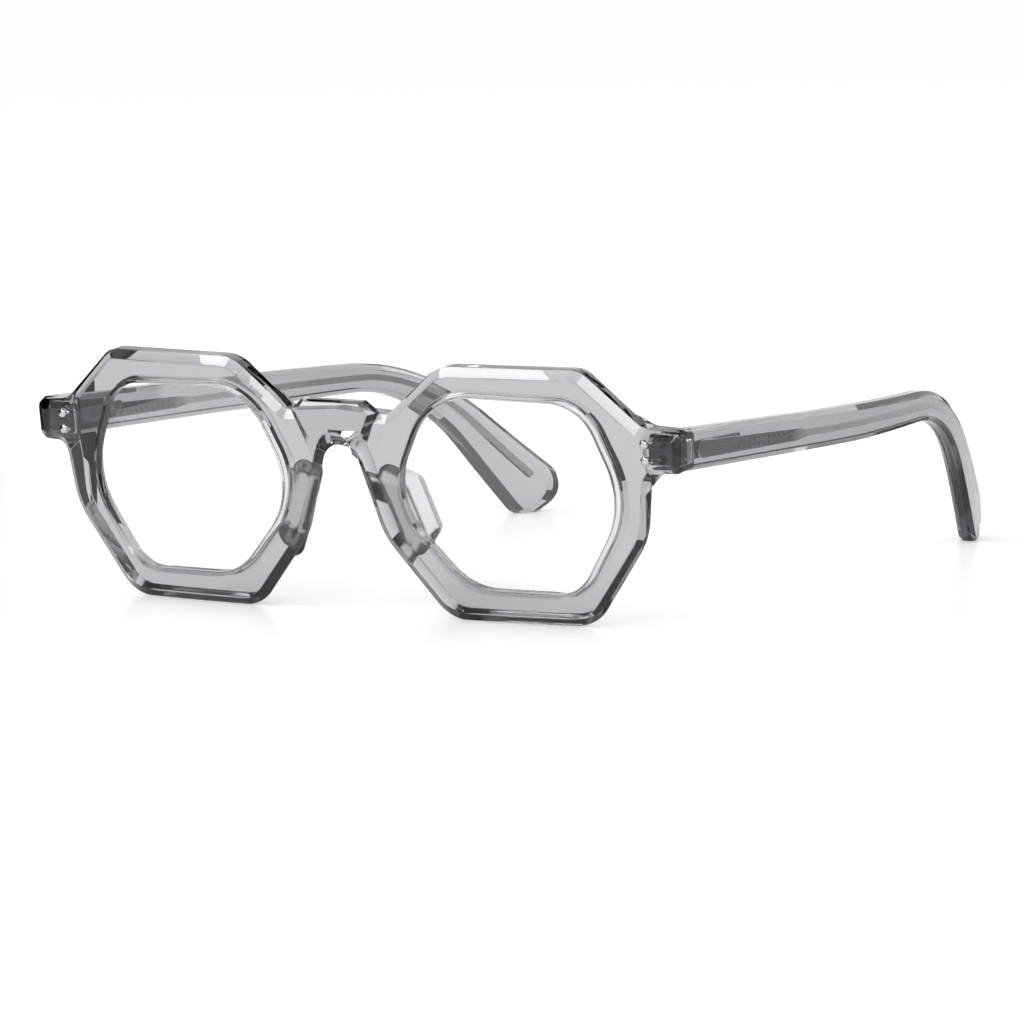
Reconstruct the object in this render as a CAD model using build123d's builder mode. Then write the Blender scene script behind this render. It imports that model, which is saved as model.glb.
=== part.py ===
from build123d import *
import os
from math import cos, radians, sin, sqrt, tan

# Hexagonal eyeglasses in thick clear acetate, resting open on rims and temple tips.
# +X is the wearer's left, +Y runs back along the temples, +Z is up, in millimetres.

# Front, measured on its own leaning plane
front_half_width = 71.3
rim_height = 47.3
front_thickness = 4.6
front_wrap_radius = 602.0
front_lean = 6.9
front_bevel_width = 1.7
front_bevel_depth = 1.2
back_bevel = 0.8
bevel_angle = 45.0
comfort_start = 1.4
comfort_angle = 33.0
comfort_margin = 0.15
edge_tolerance = 0.06
outline_big_round = 8.0
outline_side_round = 14.0
outline_small_round = 5.0
outer_valley_round = 4.5
inner_valley_round = 2.4
armpit_round = 2.4
end_corner_round = 1.9

# Lens openings
opening_front_bevel = 0.7
opening_front_rise = 0.3
opening_back_bevel = 0.7
opening_back_angle = 55.0

# Bridge plateau
bridge_rise = 0.8
bridge_bevel = 1.4
bridge_depth = 1.3

# End pieces and mitre
end_block_width = 10.4
end_block_slope = 1.6
mitre_back = 7.3
mitre_gap = 0.12

# Lenses
lens_thickness = 1.8
lens_curve_radius = 200.0
lens_bite = 0.8
lens_setback = 1.7
lens_fit = 0.05

# Nose pads
pad_length = 21.0
pad_width = 6.2
pad_depth = 4.9
pad_ridge_length = 11.0
pad_ridge_width = 3.2
pad_ridge_shift = 2.4
pad_turn = 21.0
pad_round = 0.8
pad_seat_gap = 0.02

# Temples
temple_height = 7.6
temple_thickness = 4.0
temple_tip_thickness = 3.3
temple_length = 140.1
temple_bow_radius = 253.0
temple_edge_round = 1.1
temple_edge_bevel = 0.9
temple_slow_round = 200.0
temple_top_bend_round = 57.0
temple_bottom_bend_round = 37.0
temple_tip_round = 4.8

# Core wires
core_start = 2.4
core_blade_length = 34.6
core_blade_height = 3.2
core_blade_end_height = 2.2
core_point_length = 6.4
core_neck_width = 0.6
core_wire_drop = 0.8
core_thickness = 0.9
core_wire_width = 1.2
core_bend_round = 45.0
core_fit = 0.05
core_hole_radius = 0.3
core_hole_count = 12
core_hole_pitch = 1.75
core_hole_row_gap = 1.05
core_hole_sides = 6

# Hinges
knuckle_radius = 1.5
knuckle_height = 3.9
knuckle_middle_height = 1.5
knuckle_gap = 0.06
axis_clearance = 0.12
hinge_plate_width = 6.0
hinge_plate_height = 4.6
hinge_plate_thickness = 0.8
hinge_plate_offset = 0.62
temple_plate_start = 1.1
temple_plate_length = 17.2
temple_plate_height = 3.1
temple_plate_thickness = 0.9
plate_fit = 0.03
plate_corner_round = 0.6

# Screws and rivets
screw_radius = 0.55
screw_fit = 0.03
screw_head_radius = 1.05
screw_head_height = 0.45
screw_slot_width = 0.25
screw_slot_depth = 0.2
rivet_shank_radius = 0.4
rivet_head_radius = 0.86
rivet_head_height = 0.55
rivet_proud = 0.22
rivet_inset = 1.38
rivet_spacing = 3.0
rivet_fit = 0.03

# Cuts run past the surfaces they open by this much
overrun = 30.0
rest_flat = 0.12

# Sizes and places, as shares of the front they follow
rim_drop_share = 0.4588
opening_width_share = 0.606
opening_height_share = 0.757
opening_centre_share = 0.4958
temple_top_share = 0.7822
knuckle_drop_share = 0.55
arch_round_share = 1.28
plateau_rise_share = 0.2
bevel_cut_share = 3.0

# Corner places, as shares of the sizes they follow
opening_corner_shares = [
    (-0.347, 0.508),
    (0.375, 0.483),
    (0.553, -0.027),
    (0.305, -0.502),
    (-0.227, -0.496),
    (-0.574, -0.044),
]
opening_round_shares = [0.39, 0.264, 0.43, 0.237, 0.352, 0.363]
rim_corner_shares = {
    "bridge": (0.0, 0.818),
    "inner_valley": (0.157, 0.801),
    "inner_top": (0.317, 1.0),
    "outer_top": (0.727, 1.0),
    "outer_valley": (0.893, 0.78),
    "armpit": (0.914, 0.606),
    "side": (0.891, 0.353),
    "outer_bottom": (0.719, 0.0),
    "inner_bottom": (0.296, 0.0),
    "nose_side": (0.1136, 0.317),
    "arch": (0.041, 0.666),
}
bridge_corner_shares = {
    "top": (0.094, 0.8541),
    "shoulder": (0.1318, 0.8097),
    "foot": (0.0743, 0.6152),
    "arch": (0.0, 0.6998),
}
pad_centre_shares = (0.1529, 0.4165)
comfort_top_share = 0.554
temple_corner_shares = {
    "shoulder": (0.307, 0.962),
    "top_bend": (0.782, 0.917),
    "tip_back": (1.041, 0.135),
    "tip_front": (0.958, -0.042),
    "bottom_bend": (0.77, 0.776),
    "belly": (0.447, 0.768),
}
core_bend_share = (0.78, 0.845)
core_end_share = (0.972, 0.21)


# Sizes worked out from the front
rim_drop = rim_height * rim_drop_share
temple_top = rim_height * temple_top_share
opening_width = front_half_width * opening_width_share
opening_height = rim_height * opening_height_share
opening_centre_out = front_half_width * opening_centre_share
opening_centre_up = rim_height / 2 - rim_drop

# Planes that carry the front: its own plane, the plan across it and the mitre
lens_height = rim_drop * cos(radians(front_lean)) - front_bevel_depth * sin(radians(front_lean))
front_normal = Vector(0, -cos(radians(front_lean)), -sin(radians(front_lean)))
front_up = Vector(0, -sin(radians(front_lean)), cos(radians(front_lean)))
front_plane = Plane(origin=(0, 0, lens_height), x_dir=(1, 0, 0), z_dir=front_normal)
eye_turn = opening_centre_out / front_wrap_radius
eye_reach = sqrt(front_wrap_radius * front_wrap_radius - opening_centre_out * opening_centre_out)
eye_depth = front_wrap_radius - eye_reach
eye_plane = Plane(
    origin=front_plane.from_local_coords(Vector(opening_centre_out, 0, -eye_depth)),
    x_dir=Vector(1, 0, 0) * cos(eye_turn) - front_normal * sin(eye_turn),
    z_dir=Vector(1, 0, 0) * sin(eye_turn) + front_normal * cos(eye_turn),
)
plan_plane = Plane(origin=(0, 0, lens_height), x_dir=(1, 0, 0), z_dir=front_up)
mitre_plane = Plane(origin=(0, mitre_back, 0), x_dir=(1, 0, 0), z_dir=(0, -1, 0))


far_plane = front_plane.offset(overrun)


def sag(out, radius):
    """Depth of a round surface behind its apex at a distance out from the middle."""
    return radius - sqrt(radius * radius - out * out)


def near(shape, point):
    """The corner of a sketch that lies nearest to a point."""
    return shape.vertices().sort_by_distance(point)[0]


def wrap_band(front_gap, back_gap):
    """Plan of the wrapped front between two depths, as a closed face."""
    reach = front_half_width + outline_small_round
    front_sag = sag(reach, front_wrap_radius)
    with BuildSketch(plan_plane) as band:
        with BuildLine():
            ThreePointArc(
                (-reach, front_sag + front_gap), (0, front_gap), (reach, front_sag + front_gap)
            )
            Line((reach, front_sag + front_gap), (reach, front_sag + back_gap))
            ThreePointArc(
                (reach, front_sag + back_gap), (0, back_gap), (-reach, front_sag + back_gap)
            )
            Line((-reach, front_sag + back_gap), (-reach, front_sag + front_gap))
        make_face()
    return band.sketch


def height_on_front(height):
    """Place up the leaning front of a level line drawn on the mitre."""
    lean = radians(front_lean)
    return (height - lens_height - mitre_back * tan(lean)) * cos(lean)


def front_point(shares):
    """Place on the front plane from its pair of shares."""
    return (shares[0] * front_half_width, shares[1] * rim_height - rim_drop)


def rim_point(name):
    """One corner of the outline on the front plane."""
    return front_point(rim_corner_shares[name])


# Half outline of the front, from the bridge round the rim and the end piece
end_top = height_on_front(temple_top)
end_bottom = height_on_front(temple_top - temple_height)
outline_points = [
    rim_point("bridge"),
    rim_point("inner_valley"),
    rim_point("inner_top"),
    rim_point("outer_top"),
    rim_point("outer_valley"),
    (front_half_width, end_top),
    (front_half_width, end_bottom),
    rim_point("armpit"),
    rim_point("side"),
    rim_point("outer_bottom"),
    rim_point("inner_bottom"),
    rim_point("nose_side"),
    rim_point("arch"),
    (0, rim_point("arch")[1]),
]
outline_rounds = {
    "inner_valley": inner_valley_round,
    "inner_top": outline_big_round,
    "outer_top": outline_small_round,
    "outer_valley": outer_valley_round,
    "armpit": armpit_round,
    "side": outline_side_round,
    "outer_bottom": outline_big_round,
    "inner_bottom": outline_big_round,
    "nose_side": outline_side_round,
    "arch": arch_round_share * rim_point("arch")[0],
}

with BuildSketch(far_plane) as front_outline:
    with BuildLine():
        Polyline(*outline_points, close=True)
    make_face()
    for corner_name, corner_radius in outline_rounds.items():
        fillet(near(front_outline, rim_point(corner_name)), corner_radius)
    for corner_up in (end_top, end_bottom):
        fillet(near(front_outline, (front_half_width, corner_up)), end_corner_round)
    mirror(about=Plane.YZ)


def opening_outline(level, grow):
    """Rounded hexagon of one lens opening at a level on the eye plane, grown all round."""
    corners = []
    for across_share, up_share in opening_corner_shares:
        corners.append(
            (
                across_share * opening_width,
                opening_centre_up + up_share * opening_height,
            )
        )
    with BuildSketch(eye_plane.offset(level)) as outline:
        with BuildLine():
            Polyline(*corners, close=True)
        make_face()
        for corner, round_share in zip(corners, opening_round_shares):
            fillet(near(outline, corner), round_share * opening_height)
        if grow > 0:
            offset(amount=grow)
    return outline.sketch


def lens_solid(grow, thicken):
    """Lens blank cut from a round shell, grown at its edge and thickened on both faces."""
    apex_depth = lens_setback - sag(opening_width / 2, lens_curve_radius) / 2
    centre = eye_plane.from_local_coords(
        Vector(0, opening_centre_up, -apex_depth - lens_curve_radius)
    )
    with BuildPart() as blank:
        extrude(opening_outline(overrun, grow), amount=-2 * overrun)
        with Locations(centre):
            Sphere(lens_curve_radius + thicken, mode=Mode.INTERSECT)
            Sphere(lens_curve_radius - lens_thickness - thicken, mode=Mode.SUBTRACT)
    return blank.part



def front_depth(point):
    """Depth of a point behind the wrapped front surface."""
    local = front_plane.to_local_coords(point)
    return -local.Z - sag(abs(local.X), front_wrap_radius)


def edges_at_depth(shape, depth):
    """Edges of a wrapped solid that lie at one depth behind its front surface."""
    found = ShapeList()
    for edge in shape.edges():
        if abs(front_depth(edge @ 0.5) - depth) < edge_tolerance:
            found.append(edge)
    return found


def plateau_outline(level, inset):
    """Outline of the bridge plateau at one level, drawn in by an inset."""
    top_half, top_up = front_point(bridge_corner_shares["top"])
    shoulder_half, shoulder_up = front_point(bridge_corner_shares["shoulder"])
    foot_half, foot_up = front_point(bridge_corner_shares["foot"])
    arch_up = front_point(bridge_corner_shares["arch"])[1]
    top = (top_half - inset / 2, top_up - inset * plateau_rise_share)
    shoulder = (shoulder_half - inset, shoulder_up - inset * plateau_rise_share)
    foot = (foot_half - inset, foot_up + inset)
    with BuildSketch(front_plane.offset(level)) as outline:
        with BuildLine():
            Polyline(
                (-foot[0], foot[1]),
                (-shoulder[0], shoulder[1]),
                (-top[0], top[1]),
                top,
                shoulder,
                foot,
            )
            ThreePointArc(foot, (0, arch_up + inset), (-foot[0], foot[1]))
        make_face()
    return outline.sketch


# Slanting cuts round one rim and its opening, made square to the lens
comfort_top = comfort_top_share * rim_height - rim_drop
nose_side = rim_point("inner_bottom")[0]
brow_end = rim_point("outer_valley")[0] - outer_valley_round / 2
brow_start = rim_point("inner_valley")[0] + 2 * inner_valley_round
with BuildSketch(Plane.XY) as grown_outline:
    with Locations((-opening_centre_out, 0)):
        add(front_outline.sketch_local)
    offset(amount=comfort_margin)
with BuildPart() as rim_cuts:
    # Slope behind the lower and nose edges
    with BuildSketch(eye_plane.offset(-comfort_start)) as comfort_space:
        with Locations((front_half_width - opening_centre_out, comfort_top - overrun)):
            Rectangle(2 * front_half_width, 2 * overrun)
        with Locations((nose_side / 2 - opening_centre_out, rim_point("arch")[1] - overrun)):
            Rectangle(nose_side, 2 * overrun)
        add(grown_outline.sketch_local, mode=Mode.SUBTRACT)
    extrude(amount=-2 * front_thickness, taper=-comfort_angle)
    # Bevel along the back of the brow
    with BuildSketch(eye_plane.offset(back_bevel - front_thickness)) as brow_space:
        with Locations(((brow_start + brow_end) / 2 - opening_centre_out, comfort_top + overrun)):
            Rectangle(brow_end - brow_start, 2 * overrun)
        add(grown_outline.sketch_local, mode=Mode.SUBTRACT)
    extrude(amount=-bevel_cut_share * back_bevel, taper=-bevel_angle)
    # Opening with its bevels
    extrude(opening_outline(overrun, 0), amount=-2 * overrun)
    extrude(
        opening_outline(opening_front_rise, opening_front_bevel + opening_front_rise),
        amount=-opening_front_bevel - opening_front_rise,
        taper=bevel_angle,
    )
    extrude(
        opening_outline(opening_back_bevel - front_thickness, 0),
        amount=-bevel_cut_share * opening_back_bevel,
        taper=-opening_back_angle,
    )

# End block that squares the back of the front to the temple
end_block_inner = front_half_width - end_block_width
with BuildPart() as end_block:
    with BuildSketch(Plane.XY.offset(temple_top - temple_height)):
        with BuildLine():
            Polyline(
                (end_block_inner, mitre_back - front_thickness / 2),
                (front_half_width, mitre_back - front_thickness / 2),
                (front_half_width, mitre_back),
                (end_block_inner + end_block_slope, mitre_back),
                close=True,
            )
        make_face()
    extrude(amount=temple_height)
    fillet(end_block.edges().filter_by(Axis.Y).group_by(Axis.X)[-1], temple_edge_round)

# Places shared by hinge, rivets and temple
temple_inner = front_half_width - temple_thickness
axis_out = temple_inner - knuckle_radius - axis_clearance
axis_back = mitre_back + knuckle_radius + axis_clearance
hinge_height = temple_top - temple_height * knuckle_drop_share
temple_start = mitre_back + mitre_gap
rivet_heights = (hinge_height - rivet_spacing / 2, hinge_height + rivet_spacing / 2)
hinge_plate_middle = axis_out + hinge_plate_offset
rivet_out = axis_out - rivet_inset


def hinge_plate_blank(grow):
    """Rounded plate set into the back of the end piece, grown for its recess."""
    with BuildPart() as plate:
        with BuildSketch(mitre_plane):
            with Locations((hinge_plate_middle, hinge_height)):
                RectangleRounded(
                    hinge_plate_width + 2 * grow,
                    hinge_plate_height + 2 * grow,
                    plate_corner_round + grow,
                )
        extrude(amount=hinge_plate_thickness + grow)
    return plate.part


def rivet_seat(height):
    """Depth along the view axis of the front surface at a rivet."""
    up = height_on_front(height)
    out_sag = sag(rivet_out, front_wrap_radius)
    lean = radians(front_lean)
    return out_sag * cos(lean) - up * sin(lean)


def rivet_blank(height, grow):
    """Rivet with a shallow head, grown for the hole it fills."""
    head_back = rivet_seat(height) - rivet_proud + rivet_head_height
    with BuildPart() as rivet:
        with BuildSketch(mitre_plane):
            with Locations((rivet_out, height)):
                Circle(rivet_shank_radius + grow)
        extrude(amount=mitre_back - head_back + rivet_head_height / 2)
        with BuildSketch(Plane(origin=(0, head_back + grow, 0), x_dir=(1, 0, 0), z_dir=(0, -1, 0))):
            with Locations((rivet_out, height)):
                Circle(rivet_head_radius + grow)
        extrude(amount=rivet_head_height + grow)
    return rivet.part


# Frame front
with BuildPart() as frame_front:
    extrude(front_outline.sketch, amount=-2 * overrun)
    extrude(wrap_band(0, front_thickness), amount=rim_height, both=True, mode=Mode.INTERSECT)
    front_face = frame_front.faces().sort_by(lambda face: abs(front_depth(face.center())))[0]
    chamfer(
        edges_at_depth(frame_front, 0), front_bevel_width, front_bevel_depth, reference=front_face
    )
    add(rim_cuts.part, mode=Mode.SUBTRACT)
    add(rim_cuts.part.mirror(Plane.YZ), mode=Mode.SUBTRACT)
    # Plateau over the bridge
    extrude(plateau_outline(0, 0), amount=-bridge_depth)
    loft([plateau_outline(0, 0), plateau_outline(bridge_rise, bridge_bevel)], ruled=True)
    # End blocks, squared off at the mitre
    add(end_block.part)
    add(end_block.part.mirror(Plane.YZ))
    for side in (1, -1):
        with Locations((side * (end_block_inner + overrun / 2), mitre_back + overrun / 2, temple_top)):
            Box(overrun, overrun, 2 * overrun, mode=Mode.SUBTRACT)
    # Lens grooves
    groove = lens_solid(lens_bite + lens_fit, lens_fit)
    add(groove, mode=Mode.SUBTRACT)
    add(groove.mirror(Plane.YZ), mode=Mode.SUBTRACT)
    # Recesses for hinge plates and rivets
    add(hinge_plate_blank(plate_fit), mode=Mode.SUBTRACT)
    add(hinge_plate_blank(plate_fit).mirror(Plane.YZ), mode=Mode.SUBTRACT)
    for height in rivet_heights:
        add(rivet_blank(height, rivet_fit), mode=Mode.SUBTRACT)
        add(rivet_blank(height, rivet_fit).mirror(Plane.YZ), mode=Mode.SUBTRACT)
    # Flats the rims rest on
    with BuildSketch(Plane.XY.offset(rest_flat)):
        Rectangle(4 * front_half_width, 4 * front_half_width)
    extrude(amount=-overrun, mode=Mode.SUBTRACT)

# Lens
lens_left = lens_solid(lens_bite, 0)

# Rivets
with BuildPart() as front_rivets_left:
    for height in rivet_heights:
        add(rivet_blank(height, 0))

# Front hinge with its two ears
with BuildPart() as front_hinge_left:
    add(hinge_plate_blank(0))
    for lift in (knuckle_middle_height / 2 + knuckle_gap, -knuckle_height / 2):
        with BuildSketch(Plane.XY.offset(hinge_height + lift)):
            with Locations((axis_out, axis_back)):
                Circle(knuckle_radius)
            with BuildLine():
                Polyline(
                    (rivet_out + rivet_head_radius, mitre_back - hinge_plate_thickness / 2),
                    (axis_out + knuckle_radius, mitre_back - hinge_plate_thickness / 2),
                    (axis_out + knuckle_radius, axis_back),
                    (axis_out - knuckle_radius, axis_back),
                    (rivet_out + rivet_head_radius, mitre_back),
                    close=True,
                )
            make_face()
        extrude(amount=knuckle_height / 2 - knuckle_middle_height / 2 - knuckle_gap)
    with BuildSketch(Plane.XY.offset(hinge_height - knuckle_height)):
        with Locations((axis_out, axis_back)):
            Circle(screw_radius + screw_fit)
    extrude(amount=2 * knuckle_height, mode=Mode.SUBTRACT)
    for height in rivet_heights:
        with BuildSketch(mitre_plane.offset(-overrun)):
            with Locations((rivet_out, height)):
                Circle(rivet_shank_radius + rivet_fit)
        extrude(amount=2 * overrun, mode=Mode.SUBTRACT)

# Hinge screw with a slotted head
with BuildPart() as hinge_screw_left:
    with BuildSketch(Plane.XY.offset(hinge_height - knuckle_height / 2)):
        with Locations((axis_out, axis_back)):
            Circle(screw_radius)
    extrude(amount=knuckle_height)
    with BuildSketch(Plane.XY.offset(hinge_height + knuckle_height / 2)):
        with Locations((axis_out, axis_back)):
            Circle(screw_head_radius)
    extrude(amount=screw_head_height)
    chamfer(hinge_screw_left.edges().group_by(Axis.Z)[-1], screw_head_height / 2)
    with BuildSketch(Plane.XY.offset(hinge_height + knuckle_height / 2 + screw_head_height)):
        with Locations((axis_out, axis_back)):
            Rectangle(2 * overrun, screw_slot_width)
    extrude(amount=-screw_slot_depth, mode=Mode.SUBTRACT)

# Nose pad bonded behind the rim
pad_centre_out, pad_centre_up = front_point(pad_centre_shares)
pad_start = sag(pad_centre_out, front_wrap_radius) + front_thickness / 2
pad_top = pad_start + front_thickness / 2 + pad_depth
pad_place = Location((pad_centre_out, pad_centre_up, 0), (0, 0, 90 + pad_turn))
ridge_place = Location((pad_centre_out + pad_ridge_shift, pad_centre_up, 0), (0, 0, 90 + pad_turn))
with BuildPart() as nose_pad_left:
    with BuildSketch(front_plane.offset(-pad_start)):
        with Locations(pad_place):
            SlotOverall(pad_length, pad_width)
    with BuildSketch(front_plane.offset(-pad_top)):
        with Locations(ridge_place):
            SlotOverall(pad_ridge_length, pad_ridge_width)
    loft()
    fillet(nose_pad_left.faces().sort_by(Axis.Y)[-1].edges(), pad_round)
    add(frame_front.part.moved(Location((0, pad_seat_gap, 0))), mode=Mode.SUBTRACT)
    extrude(
        opening_outline(overrun, lens_bite + 2 * lens_fit),
        amount=-overrun - front_thickness,
        mode=Mode.SUBTRACT,
    )


def temple_band(thickness, end_thickness):
    """Plan of the temple round its bowed middle line, as a closed face."""
    middle_out = front_half_width - temple_thickness / 2
    straight_length = temple_length * temple_corner_shares["shoulder"][0]
    straight_end = temple_start + straight_length
    reach_angle = (temple_length + overrun - straight_length) / temple_bow_radius
    with BuildSketch(Plane.XY) as band:
        with BuildLine():
            ends = []
            for side in (1, -1):
                near_out = middle_out + side * thickness / 2
                bow = temple_bow_radius + side * end_thickness / 2
                far = (
                    middle_out - temple_bow_radius + bow * cos(reach_angle),
                    straight_end + bow * sin(reach_angle),
                )
                Line((near_out, mitre_back - overrun), (near_out, straight_end))
                TangentArc((near_out, straight_end), far, tangent=(0, 1))
                ends.append(far)
            Line(ends[0], ends[1])
            Line(
                (middle_out + thickness / 2, mitre_back - overrun),
                (middle_out - thickness / 2, mitre_back - overrun),
            )
        make_face()
    return band.sketch


side_plane = Plane(origin=(temple_inner - overrun, temple_start, 0), x_dir=(0, 1, 0), z_dir=(1, 0, 0))


def side_point(share):
    """Point on the side view of the temple from its pair of shares."""
    return (share[0] * temple_length, share[1] * temple_top)


# Side view of the temple
temple_rounds = {
    "top_bend": temple_top_bend_round,
    "tip_back": temple_tip_round,
    "tip_front": temple_tip_round,
    "bottom_bend": temple_bottom_bend_round,
    "belly": temple_slow_round,
}
with BuildSketch(side_plane) as temple_side:
    with BuildLine():
        temple_loop = [(0, temple_top)]
        for share in temple_corner_shares.values():
            temple_loop.append(side_point(share))
        temple_loop.append((0, temple_top - temple_height))
        Polyline(*temple_loop, close=True)
    make_face()
    for corner_name, corner_radius in temple_rounds.items():
        fillet(near(temple_side, side_point(temple_corner_shares[corner_name])), corner_radius)


def core_solid(grow):
    """Core wire with its flat blade, grown for the pocket it fills."""
    blade_middle = hinge_height
    blade_end = core_start + core_blade_length
    point_end = blade_end + core_point_length
    drop = core_wire_drop
    with BuildSketch(side_plane) as core_side:
        with BuildLine():
            Polyline(
                (core_start - grow, blade_middle),
                (core_start + core_blade_height / 2 - grow, blade_middle + core_blade_height / 2 + grow),
                (blade_end, blade_middle - drop + core_blade_end_height / 2 + grow),
                (point_end, blade_middle - drop + core_neck_width / 2 + grow),
                (point_end, blade_middle - drop - core_neck_width / 2 - grow),
                (blade_end, blade_middle - drop - core_blade_end_height / 2 - grow),
                (core_start + core_blade_height / 2 - grow, blade_middle - core_blade_height / 2 - grow),
                close=True,
            )
        make_face()
        with BuildLine():
            wire = FilletPolyline(
                (blade_end - core_blade_height, blade_middle - drop),
                side_point(core_bend_share),
                side_point(core_end_share),
                radius=core_bend_round,
            )
        trace(wire, line_width=core_wire_width + 2 * grow)
    with BuildPart() as core:
        extrude(core_side.sketch, amount=2 * overrun)
        extrude(
            temple_band(core_thickness + 2 * grow, core_thickness + 2 * grow),
            amount=2 * temple_top,
            both=True,
            mode=Mode.INTERSECT,
        )
    return core.part


def temple_plate_blank(grow):
    """Long plate set into the inner face of the temple, grown for its recess."""
    plate_middle = temple_plate_start + temple_plate_length / 2
    with BuildPart() as plate:
        with BuildSketch(side_plane.offset(overrun)):
            with Locations((plate_middle, hinge_height)):
                RectangleRounded(
                    temple_plate_length + 2 * grow,
                    temple_plate_height + 2 * grow,
                    plate_corner_round + grow,
                )
        extrude(amount=temple_plate_thickness + grow)
    return plate.part


# Temple
with BuildPart() as temple_left:
    extrude(temple_side.sketch, amount=2 * overrun)
    extrude(
        temple_band(temple_thickness, temple_tip_thickness),
        amount=2 * temple_top,
        both=True,
        mode=Mode.INTERSECT,
    )
    long_edges = ShapeList()
    for edge in temple_left.edges():
        flat_end = abs(edge.center().Y - temple_start) < temple_edge_round
        runs_across = abs(edge.tangent_at(0.5).X) > cos(radians(bevel_angle / 2))
        if not flat_end and not runs_across:
            long_edges.append(edge)
    chamfer(long_edges, temple_edge_bevel)
    with BuildSketch(Plane.XY.offset(rest_flat)):
        Rectangle(4 * temple_length, 4 * temple_length)
    extrude(amount=-overrun, mode=Mode.SUBTRACT)
    add(core_solid(core_fit), mode=Mode.SUBTRACT)
    add(temple_plate_blank(plate_fit), mode=Mode.SUBTRACT)

# Core wire with two rows of holes in its blade
with BuildPart() as core_wire_left:
    add(core_solid(0))
    hole_drop = core_wire_drop / core_blade_length
    hole_places = []
    for index in range(core_hole_count):
        along = core_start + core_blade_length - (index + 0.5) * core_hole_pitch
        middle = hinge_height - hole_drop * (along - core_start)
        hole_places.append((along, middle + core_hole_row_gap / 2))
        hole_places.append((along, middle - core_hole_row_gap / 2))
    with BuildSketch(side_plane):
        with Locations(*hole_places):
            RegularPolygon(core_hole_radius, core_hole_sides)
    extrude(amount=2 * overrun, mode=Mode.SUBTRACT)

# Temple hinge with its middle knuckle
with BuildPart() as temple_hinge_left:
    add(temple_plate_blank(0))
    with BuildSketch(Plane.XY.offset(hinge_height - knuckle_middle_height / 2)):
        with Locations((axis_out, axis_back)):
            Circle(knuckle_radius)
        with BuildLine():
            Polyline(
                (axis_out, axis_back),
                (temple_inner + temple_plate_thickness / 2, axis_back),
                (temple_inner + temple_plate_thickness / 2, axis_back + knuckle_radius),
                (axis_out, axis_back + knuckle_radius),
                close=True,
            )
        make_face()
    extrude(amount=knuckle_middle_height)
    with BuildSketch(Plane.XY.offset(hinge_height - knuckle_height)):
        with Locations((axis_out, axis_back)):
            Circle(screw_radius + screw_fit)
    extrude(amount=2 * knuckle_height, mode=Mode.SUBTRACT)

# Pieces of the wearer's left, each with a mirrored twin on the right
left_pieces = {
    "nose_pad": nose_pad_left.part,
    "lens": lens_left,
    "front_hinge": front_hinge_left.part,
    "front_rivets": front_rivets_left.part,
    "temple": temple_left.part,
    "temple_hinge": temple_hinge_left.part,
    "core_wire": core_wire_left.part,
    "hinge_screw": hinge_screw_left.part,
}
pieces = {"frame_front": frame_front.part}
for name, shape in left_pieces.items():
    pieces[name + "_left"] = shape
    pieces[name + "_right"] = shape.mirror(Plane.YZ)

# Origin at the middle of the footprint, on the floor
whole = Compound(children=[shape.moved(Location((0, 0, 0))) for shape in pieces.values()])
bounds = whole.bounding_box()
shift = Location((0, -(bounds.min.Y + bounds.max.Y) / 2, -rest_flat))
os.makedirs("parts", exist_ok=True)
for name, shape in pieces.items():
    placed = shape.moved(shift)
    placed.label = name
    export_step(placed, "parts/" + name + ".step")
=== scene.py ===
from math import cos, radians, sin

import bmesh
import bpy
from mathutils import Matrix, Vector


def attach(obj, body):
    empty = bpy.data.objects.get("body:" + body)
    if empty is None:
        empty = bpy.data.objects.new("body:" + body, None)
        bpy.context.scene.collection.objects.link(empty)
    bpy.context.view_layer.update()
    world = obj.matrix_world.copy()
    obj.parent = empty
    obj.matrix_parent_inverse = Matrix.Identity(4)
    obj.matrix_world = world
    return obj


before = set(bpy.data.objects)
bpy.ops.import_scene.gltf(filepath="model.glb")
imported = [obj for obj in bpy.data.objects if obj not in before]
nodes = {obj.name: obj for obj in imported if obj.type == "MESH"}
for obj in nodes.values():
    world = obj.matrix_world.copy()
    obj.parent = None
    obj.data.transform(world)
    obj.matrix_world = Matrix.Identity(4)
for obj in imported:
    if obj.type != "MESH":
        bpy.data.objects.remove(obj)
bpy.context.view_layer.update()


# Front
# One clear, lightly smoked acetate sheet, 4.6 mm thick, milled to shape and bent to a wrap.
# It is bevelled all round and tumbled to a high polish, which leaves faint waviness.
def finish_group(name, inputs):
    """An empty group that turns these inputs into a colour, a roughness and a relief."""
    group = bpy.data.node_groups.new(name, "ShaderNodeTree")
    for label, kind, value in inputs:
        item = group.interface.new_socket(label, in_out="INPUT", socket_type=kind)
        item.default_value = value
    group.interface.new_socket("Color", in_out="OUTPUT", socket_type="NodeSocketColor")
    group.interface.new_socket("Roughness", in_out="OUTPUT", socket_type="NodeSocketFloat")
    group.interface.new_socket("Height", in_out="OUTPUT", socket_type="NodeSocketFloat")
    return group, group.nodes.new("NodeGroupInput"), group.nodes.new("NodeGroupOutput")


def join(tree, out_socket, in_socket):
    """One wire between two sockets."""
    tree.links.new(out_socket, in_socket)


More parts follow.
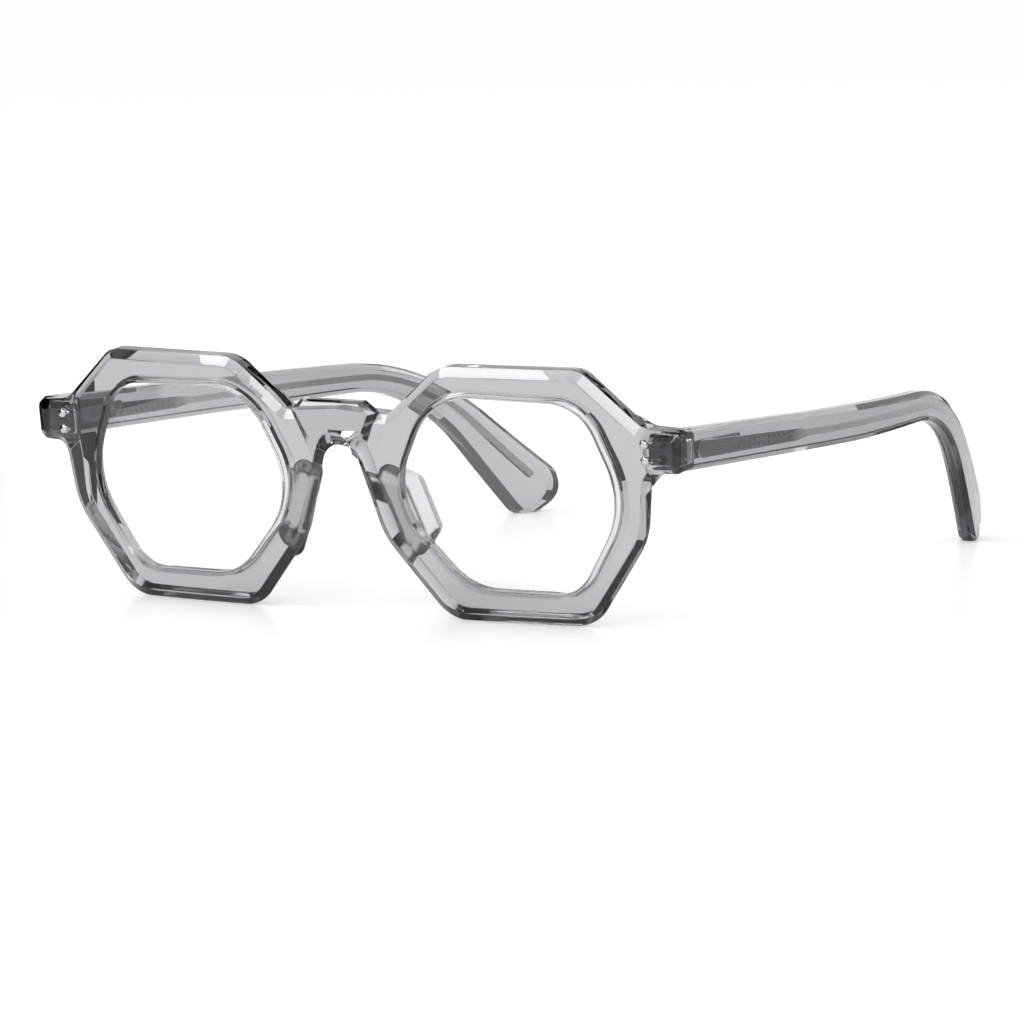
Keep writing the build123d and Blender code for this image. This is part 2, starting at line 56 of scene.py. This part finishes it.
def finish_material(name, group):
    """A material that takes its colour, roughness and relief from a finish group."""
    material = bpy.data.materials.new(name)
    material.use_nodes = True
    tree = material.node_tree
    shader = tree.nodes["Principled BSDF"]
    place = tree.nodes.new("ShaderNodeTexCoord")
    surface = tree.nodes.new("ShaderNodeGroup")
    surface.node_tree = group
    relief = tree.nodes.new("ShaderNodeBump")
    join(tree, place.outputs["Object"], surface.inputs["Place"])
    join(tree, surface.outputs["Color"], shader.inputs["Base Color"])
    join(tree, surface.outputs["Roughness"], shader.inputs["Roughness"])
    join(tree, surface.outputs["Height"], relief.inputs["Height"])
    join(tree, relief.outputs["Normal"], shader.inputs["Normal"])
    return material, shader, surface, relief


# Slow waviness left by tumbling, and a thin uneven film from handling
polish, polish_in, polish_out = finish_group(
    "tumbled_polish",
    [
        ("Place", "NodeSocketVector", (0, 0, 0)),
        ("Wave size", "NodeSocketFloat", 60.0),
        ("Low roughness", "NodeSocketFloat", 0.0),
        ("High roughness", "NodeSocketFloat", 0.05),
        ("Clear tone", "NodeSocketColor", (0.95, 0.96, 0.97, 1)),
        ("Cloudy tone", "NodeSocketColor", (0.9, 0.91, 0.92, 1)),
    ],
)
film_fineness = 420.0
film_starts = 0.35
film_full = 0.75
wave = polish.nodes.new("ShaderNodeTexNoise")
wave.inputs["Detail"].default_value = 2.0
film = polish.nodes.new("ShaderNodeTexNoise")
film.inputs["Scale"].default_value = film_fineness
film.inputs["Detail"].default_value = 4.0
film_range = polish.nodes.new("ShaderNodeMapRange")
film_range.inputs["From Min"].default_value = film_starts
film_range.inputs["From Max"].default_value = film_full
tone = polish.nodes.new("ShaderNodeMix")
tone.data_type = "RGBA"
join(polish, polish_in.outputs["Place"], wave.inputs["Vector"])
join(polish, polish_in.outputs["Wave size"], wave.inputs["Scale"])
join(polish, polish_in.outputs["Place"], film.inputs["Vector"])
join(polish, film.outputs["Fac"], film_range.inputs["Value"])
join(polish, polish_in.outputs["Low roughness"], film_range.inputs["To Min"])
join(polish, polish_in.outputs["High roughness"], film_range.inputs["To Max"])
join(polish, wave.outputs["Fac"], tone.inputs["Factor"])
join(polish, polish_in.outputs["Clear tone"], tone.inputs["A"])
join(polish, polish_in.outputs["Cloudy tone"], tone.inputs["B"])
join(polish, tone.outputs["Result"], polish_out.inputs["Color"])
join(polish, film_range.outputs["Result"], polish_out.inputs["Roughness"])
join(polish, wave.outputs["Fac"], polish_out.inputs["Height"])
smoke_tone = (0.5, 0.51, 0.52, 1)
edge_samples = 6


def clear_plastic(name, tones, wave_size, high_rough, wave_height, ior, smoke, softness):
    """A polished transparent sheet, smoked through its depth, with slightly softened edges."""
    material, shader, surface, relief = finish_material(name, polish)
    clear_tone, cloudy_tone = tones
    shader.inputs["Transmission Weight"].default_value = 1.0
    shader.inputs["IOR"].default_value = ior
    surface.inputs["Clear tone"].default_value = clear_tone
    surface.inputs["Cloudy tone"].default_value = cloudy_tone
    surface.inputs["Wave size"].default_value = wave_size
    surface.inputs["Low roughness"].default_value = 0.0
    surface.inputs["High roughness"].default_value = high_rough
    relief.inputs["Strength"].default_value = 1.0
    relief.inputs["Distance"].default_value = wave_height
    tree = material.node_tree
    soft_edges = tree.nodes.new("ShaderNodeBevel")
    soft_edges.samples = edge_samples
    soft_edges.inputs["Radius"].default_value = softness
    join(tree, soft_edges.outputs["Normal"], relief.inputs["Normal"])
    if smoke > 0:
        depth = tree.nodes.new("ShaderNodeVolumeAbsorption")
        depth.inputs["Color"].default_value = smoke_tone
        depth.inputs["Density"].default_value = smoke
        join(tree, depth.outputs["Volume"], tree.nodes["Material Output"].inputs["Volume"])
    return material


def dress(node_name, material):
    """Gives a carried-over node its finish."""
    for slot in nodes[node_name].material_slots:
        slot.material = material


acetate_tones = [(0.985, 0.988, 0.99, 1), (0.95, 0.953, 0.957, 1)]
acetate_rough = 0.02
acetate_ior = 1.49
front_sheet = clear_plastic(
    "front_clear_acetate",
    acetate_tones,
    wave_size=22.0,
    high_rough=acetate_rough,
    wave_height=0.00004,
    ior=acetate_ior,
    smoke=285.0,
    softness=0.0003,
)
dress("frame_front", front_sheet)

# Nose pads
# Each pad is a small block of clear acetate, paler than the front and rounded by hand.
# It is bonded with solvent to the slope behind the rim.
pad_sheet = clear_plastic(
    "pad_clear_acetate",
    acetate_tones,
    wave_size=140.0,
    high_rough=acetate_rough,
    wave_height=0.00003,
    ior=acetate_ior,
    smoke=60.0,
    softness=0.0012,
)
dress("nose_pad_left", pad_sheet)
dress("nose_pad_right", pad_sheet)

# Lenses
# Clear plastic lenses with a round base curve, cut to the hexagon and snapped into a groove
# inside each rim. They are water clear, with only a trace of haze.
lens_tones = [(0.995, 0.997, 1.0, 1), (0.985, 0.99, 0.992, 1)]
lens_sheet = clear_plastic(
    "lens_clear_plastic",
    lens_tones,
    wave_size=30.0,
    high_rough=0.004,
    wave_height=0.000002,
    ior=1.5,
    smoke=0.0,
    softness=0.0002,
)
dress("lens_left", lens_sheet)
dress("lens_right", lens_sheet)

# Rivets, hinges and screws
# Two rivets with low round heads clench each hinge plate to the end piece. Plates and knuckles
# are nickel silver, milled and lightly brushed, and the screws are turned steel.
brushing, brushing_in, brushing_out = finish_group(
    "brushed_lines",
    [
        ("Place", "NodeSocketVector", (0, 0, 0)),
        ("Stretch", "NodeSocketVector", (1, 1, 1)),
        ("Light tone", "NodeSocketColor", (0.8, 0.8, 0.8, 1)),
        ("Dark tone", "NodeSocketColor", (0.5, 0.5, 0.5, 1)),
        ("Low roughness", "NodeSocketFloat", 0.15),
        ("High roughness", "NodeSocketFloat", 0.4),
    ],
)
stretch = brushing.nodes.new("ShaderNodeVectorMath")
stretch.operation = "MULTIPLY"
lines = brushing.nodes.new("ShaderNodeTexNoise")
lines.inputs["Scale"].default_value = 1.0
lines.inputs["Detail"].default_value = 3.0
metal_tone = brushing.nodes.new("ShaderNodeMix")
metal_tone.data_type = "RGBA"
metal_rough = brushing.nodes.new("ShaderNodeMapRange")
join(brushing, brushing_in.outputs["Place"], stretch.inputs[0])
join(brushing, brushing_in.outputs["Stretch"], stretch.inputs[1])
join(brushing, stretch.outputs["Vector"], lines.inputs["Vector"])
join(brushing, lines.outputs["Fac"], metal_tone.inputs["Factor"])
join(brushing, brushing_in.outputs["Dark tone"], metal_tone.inputs["A"])
join(brushing, brushing_in.outputs["Light tone"], metal_tone.inputs["B"])
join(brushing, lines.outputs["Fac"], metal_rough.inputs["Value"])
join(brushing, brushing_in.outputs["Low roughness"], metal_rough.inputs["To Min"])
join(brushing, brushing_in.outputs["High roughness"], metal_rough.inputs["To Max"])
join(brushing, metal_tone.outputs["Result"], brushing_out.inputs["Color"])
join(brushing, metal_rough.outputs["Result"], brushing_out.inputs["Roughness"])
join(brushing, lines.outputs["Fac"], brushing_out.inputs["Height"])


def brushed_metal(name, light, dark, stretch_by, low_rough, high_rough, line_height):
    """A milled, turned or drawn metal part with fine tool marks."""
    material, shader, surface, relief = finish_material(name, brushing)
    shader.inputs["Metallic"].default_value = 1.0
    surface.inputs["Stretch"].default_value = stretch_by
    surface.inputs["Light tone"].default_value = light
    surface.inputs["Dark tone"].default_value = dark
    surface.inputs["Low roughness"].default_value = low_rough
    surface.inputs["High roughness"].default_value = high_rough
    relief.inputs["Distance"].default_value = line_height
    return material


rivet_metal = brushed_metal(
    "rivet_polished_metal",
    light=(0.74, 0.74, 0.75, 1),
    dark=(0.45, 0.45, 0.47, 1),
    stretch_by=(900, 900, 900),
    low_rough=0.03,
    high_rough=0.12,
    line_height=0.000004,
)
hinge_metal = brushed_metal(
    "hinge_milled_metal",
    light=(0.24, 0.24, 0.25, 1),
    dark=(0.05, 0.05, 0.055, 1),
    stretch_by=(500, 500, 900),
    low_rough=0.08,
    high_rough=0.3,
    line_height=0.00003,
)
screw_metal = brushed_metal(
    "screw_turned_steel",
    light=(0.8, 0.8, 0.8, 1),
    dark=(0.5, 0.5, 0.52, 1),
    stretch_by=(400, 400, 4500),
    low_rough=0.12,
    high_rough=0.3,
    line_height=0.00001,
)
cap_radius_share = 0.96
cap_height_share = 0.5


def rivet_caps(side):
    """The low round heads that clenching leaves on the two rivets of one side."""
    points = [point.co for point in nodes["front_rivets_" + side].data.vertices]
    low_corner = [min(point[axis] for point in points) for axis in range(3)]
    high_corner = [max(point[axis] for point in points) for axis in range(3)]
    across = (low_corner[0] + high_corner[0]) / 2
    middle = (low_corner[2] + high_corner[2]) / 2
    head_radius = (high_corner[0] - low_corner[0]) / 2
    cap_radius = head_radius * cap_radius_share
    cap_height = head_radius * cap_height_share
    facing_forward = Matrix.Rotation(radians(90), 3, "X")
    cap_mesh = bpy.data.meshes.new("rivet_caps_" + side)
    work = bmesh.new()
    for height in (low_corner[2] + head_radius, high_corner[2] - head_radius):
        above = height > middle
        head_front = min(point.y for point in points if (point.z > middle) == above)
        cap = bmesh.ops.create_uvsphere(work, u_segments=48, v_segments=24, radius=1.0)["verts"]
        bmesh.ops.rotate(work, verts=cap, matrix=facing_forward)
        bmesh.ops.scale(work, verts=cap, vec=(cap_radius, cap_height, cap_radius))
        bmesh.ops.translate(work, verts=cap, vec=(across, head_front, height))
    for face in work.faces:
        face.smooth = True
    work.to_mesh(cap_mesh)
    work.free()
    cap_mesh.materials.append(rivet_metal)
    caps = bpy.data.objects.new("rivet_caps_" + side, cap_mesh)
    bpy.context.collection.objects.link(caps)
    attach(caps, "front")


for side in ("left", "right"):
    dress("front_rivets_" + side, rivet_metal)
    rivet_caps(side)
    dress("front_hinge_" + side, hinge_metal)
    dress("hinge_screw_" + side, screw_metal)
    dress("temple_hinge_" + side, hinge_metal)

# Temples
# Clear acetate blanks with a metal core driven in hot: its perforated blade shows dark through
# the sheet. The wire's brightness is a painted reflection: near-white, barely metallic paint
# stands in for light on the wire. Each is tapered, bent behind the ear and polished like the
# front.
temple_sheet = clear_plastic(
    "temple_clear_acetate",
    acetate_tones,
    wave_size=45.0,
    high_rough=acetate_rough,
    wave_height=0.00003,
    ior=acetate_ior,
    smoke=430.0,
    softness=0.0002,
)
core_metal = brushed_metal(
    "core_drawn_wire",
    light=(0.09, 0.09, 0.1, 1),
    dark=(0.03, 0.03, 0.035, 1),
    stretch_by=(2500, 200, 2500),
    low_rough=0.2,
    high_rough=0.4,
    line_height=0.00002,
)
# Places along the temple where the dark blade ends and the wire's painted reflection starts
blade_end = -0.030
wire_start = -0.024
# Near-white wire colour with little metallic: a painted reflection, not the metal's own tone
wire_painted_reflection_tone = (0.85, 0.85, 0.86, 1)
blade_metallic = 1.0
wire_painted_reflection_metallic = 0.25
core_tree = core_metal.node_tree
core_shader = core_tree.nodes["Principled BSDF"]
blackened = core_shader.inputs["Base Color"].links[0].from_socket
core_place = core_tree.nodes.new("ShaderNodeTexCoord")
core_parts = core_tree.nodes.new("ShaderNodeSeparateXYZ")
painted_reflection_mask = core_tree.nodes.new("ShaderNodeMapRange")
core_metallic = core_tree.nodes.new("ShaderNodeMapRange")
core_metallic.inputs["To Min"].default_value = blade_metallic
core_metallic.inputs["To Max"].default_value = wire_painted_reflection_metallic
# Blends from the blade's metal tone to the wire's painted reflection along the temple
wire_painted_reflection = core_tree.nodes.new("ShaderNodeMix")
wire_painted_reflection.data_type = "RGBA"
wire_painted_reflection.inputs["B"].default_value = wire_painted_reflection_tone
join(core_tree, core_place.outputs["Object"], core_parts.inputs["Vector"])
for along in (painted_reflection_mask, core_metallic):
    along.inputs["From Min"].default_value = blade_end
    along.inputs["From Max"].default_value = wire_start
    join(core_tree, core_parts.outputs["Y"], along.inputs["Value"])
join(core_tree, painted_reflection_mask.outputs["Result"], wire_painted_reflection.inputs["Factor"])
join(core_tree, blackened, wire_painted_reflection.inputs["A"])
join(core_tree, wire_painted_reflection.outputs["Result"], core_shader.inputs["Base Color"])
join(core_tree, core_metallic.outputs["Result"], core_shader.inputs["Metallic"])
for side in ("left", "right"):
    dress("temple_" + side, temple_sheet)
    dress("core_wire_" + side, core_metal)

# Studio
# The glasses stand on a plain white table in soft light. Dark cards out of view give the clear
# sheet its black lines, as they do on a photographer's table.
floor_half = 6.0
floor_tone = (0.97, 0.97, 0.97, 1)
floor_rough = 0.3
floor_gloss = 0.1
floor_glow = 0.18
white = (1, 1, 1, 1)


def rays_of(tree, kinds):
    """A mask that is 1 for rays of these kinds."""
    path = tree.nodes.new("ShaderNodeLightPath")
    mask = path.outputs[kinds[0]]
    for kind in kinds[1:]:
        either = tree.nodes.new("ShaderNodeMath")
        either.operation = "MAXIMUM"
        join(tree, mask, either.inputs[0])
        join(tree, path.outputs[kind], either.inputs[1])
        mask = either.outputs["Value"]
    return mask


floor_mesh = bpy.data.meshes.new("table_top")
work = bmesh.new()
bmesh.ops.create_grid(work, x_segments=1, y_segments=1, size=floor_half)
work.to_mesh(floor_mesh)
work.free()
floor = bpy.data.objects.new("table_top", floor_mesh)
bpy.context.collection.objects.link(floor)
floor_paint = bpy.data.materials.new("table_white")
floor_paint.use_nodes = True
floor_tree = floor_paint.node_tree
floor_shader = floor_tree.nodes["Principled BSDF"]
floor_shader.inputs["Base Color"].default_value = floor_tone
floor_shader.inputs["Roughness"].default_value = floor_rough
floor_shader.inputs["Specular IOR Level"].default_value = floor_gloss
floor_shader.inputs["Emission Color"].default_value = white
seen_floor = rays_of(floor_tree, ["Is Camera Ray", "Is Transmission Ray"])
glow = floor_tree.nodes.new("ShaderNodeMath")
glow.operation = "MULTIPLY"
glow.inputs[1].default_value = floor_glow
join(floor_tree, seen_floor, glow.inputs[0])
join(floor_tree, glow.outputs["Value"], floor_shader.inputs["Emission Strength"])
floor_mesh.materials.append(floor_paint)

# The room is pure white where it is seen or mirrored, and dimmer as a light
room_light = 0.72
room_seen = 1.0
world = bpy.data.worlds.new("studio_world")
bpy.context.scene.world = world
world.use_nodes = True
sky_tree = world.node_tree
sky = sky_tree.nodes["Background"]
sky.inputs["Color"].default_value = white
seen_sky = rays_of(sky_tree, ["Is Camera Ray", "Is Glossy Ray", "Is Transmission Ray"])
strength = sky_tree.nodes.new("ShaderNodeMapRange")
strength.inputs["To Min"].default_value = room_light
strength.inputs["To Max"].default_value = room_seen
join(sky_tree, seen_sky, strength.inputs["Value"])
join(sky_tree, strength.outputs["Result"], sky.inputs["Strength"])

lamp_distance = 1.2


def soft_box(name, azimuth, elevation, width, height, power):
    """A soft lamp that faces the origin. Its azimuth counts from the front, in degrees."""
    out = radians(azimuth)
    lift = radians(elevation)
    place = Vector((sin(out) * cos(lift), -cos(out) * cos(lift), sin(lift))) * lamp_distance
    lamp = bpy.data.lights.new(name, "AREA")
    lamp.shape = "RECTANGLE"
    lamp.size = width
    lamp.size_y = height
    lamp.energy = power
    box = bpy.data.objects.new(name, lamp)
    box.location = place
    box.rotation_euler = (-place).to_track_quat("-Z", "Y").to_euler()
    bpy.context.collection.objects.link(box)


soft_box("box_front_left", azimuth=-43, elevation=38, width=0.5, height=0.22, power=3)
soft_box("box_front", azimuth=16, elevation=32, width=0.42, height=0.28, power=2.2)
soft_box("box_behind", azimuth=171, elevation=31, width=0.45, height=0.25, power=0.9)
soft_box("box_left", azimuth=-80, elevation=20, width=0.35, height=0.12, power=0.8)
soft_box("strip_left", azimuth=-112, elevation=20, width=0.06, height=0.8, power=1.2)
soft_box("strip_right", azimuth=84, elevation=24, width=0.06, height=0.8, power=1.4)


def card_paint(name, tone):
    """Matt paint of one dark tone."""
    paint = bpy.data.materials.new(name)
    paint.use_nodes = True
    paint_shader = paint.node_tree.nodes["Principled BSDF"]
    paint_shader.inputs["Base Color"].default_value = (tone, tone, tone, 1)
    paint_shader.inputs["Roughness"].default_value = 1.0
    paint_shader.inputs["Specular IOR Level"].default_value = 0.0
    return paint


black_card = card_paint("card_black", tone=0.01)
dim_card = card_paint("card_dim", tone=0.06)
view_turn = 32.94
# Level directions: away from the camera, and to its right
view_axis = Vector((-0.544, 0.839, 0))
view_side = Vector((0.839, 0.544, 0))


def dark_card(name, paint, aside, behind, height, width, length, turns, mirrored=True):
    """A card that only clear and shiny pieces see, placed along and across the line of sight."""
    card_mesh = bpy.data.meshes.new(name)
    work = bmesh.new()
    bmesh.ops.create_grid(work, x_segments=1, y_segments=1, size=0.5)
    bmesh.ops.scale(work, verts=work.verts, vec=(width, length, 1))
    for axis, angle in turns + [("Z", view_turn)]:
        turn = Matrix.Rotation(radians(angle), 3, axis)
        bmesh.ops.rotate(work, verts=work.verts, matrix=turn)
    shift = view_side * aside + view_axis * behind + Vector((0, 0, height))
    bmesh.ops.translate(work, verts=work.verts, vec=shift)
    work.to_mesh(card_mesh)
    work.free()
    card_mesh.materials.append(paint)
    card = bpy.data.objects.new(name, card_mesh)
    bpy.context.collection.objects.link(card)
    card.visible_camera = False
    card.visible_diffuse = False
    card.visible_shadow = False
    card.visible_glossy = mirrored


dark_card(
    "card_right",
    dim_card,
    aside=0.16,
    behind=0.45,
    height=0.066,
    width=0.13,
    length=0.3,
    turns=[("Y", 90)],
)
dark_card(
    "card_left",
    black_card,
    aside=-0.16,
    behind=0.35,
    height=0.066,
    width=0.13,
    length=0.54,
    turns=[("Y", 90)],
)
dark_card(
    "card_far_left",
    black_card,
    aside=-0.11055,
    behind=0.02,
    height=0.075,
    width=0.0449,
    length=0.15,
    turns=[("X", 90)],
    mirrored=False,
)
dark_card(
    "card_left_side",
    black_card,
    aside=-0.2,
    behind=0.05,
    height=0.1,
    width=0.3,
    length=0.2,
    turns=[("X", 90), ("Z", -123)],
)
dark_card(
    "card_top",
    black_card,
    aside=0,
    behind=0,
    height=0.7,
    width=1.2,
    length=1.2,
    turns=[],
)
dark_card(
    "card_front_right",
    black_card,
    aside=0.45,
    behind=-0.2,
    height=0.25,
    width=0.7,
    length=0.5,
    turns=[("X", 90), ("Z", 66)],
)

# Camera where the photograph was taken from
view_azimuth = radians(view_turn)
view_height = radians(7.08)
view_roll = radians(-1.01)
view_distance = 1.2294
view_target = Vector((0.03728, -0.07325, 0.02094))
sensor_width = 36.0
focal_pixels = 6823.3
picture_width = 1024
backward = Vector(
    (sin(view_azimuth) * cos(view_height), -cos(view_azimuth) * cos(view_height), sin(view_height))
)
level_right = Vector((cos(view_azimuth), sin(view_azimuth), 0))
level_up = backward.cross(level_right)
right = level_right * cos(view_roll) + level_up * sin(view_roll)
up = level_up * cos(view_roll) - level_right * sin(view_roll)
camera_data = bpy.data.cameras.new("photo_camera")
camera_data.sensor_width = sensor_width
camera_data.lens = sensor_width * focal_pixels / picture_width
camera_data.clip_start = 0.01
camera_data.clip_end = 50
camera = bpy.data.objects.new("photo_camera", camera_data)
bpy.context.collection.objects.link(camera)
facing = Matrix((right, up, backward)).transposed().to_4x4()
camera.matrix_world = Matrix.Translation(view_target + backward * view_distance) @ facing
bpy.context.scene.camera = camera
bpy.context.scene.view_settings.view_transform = "Standard"
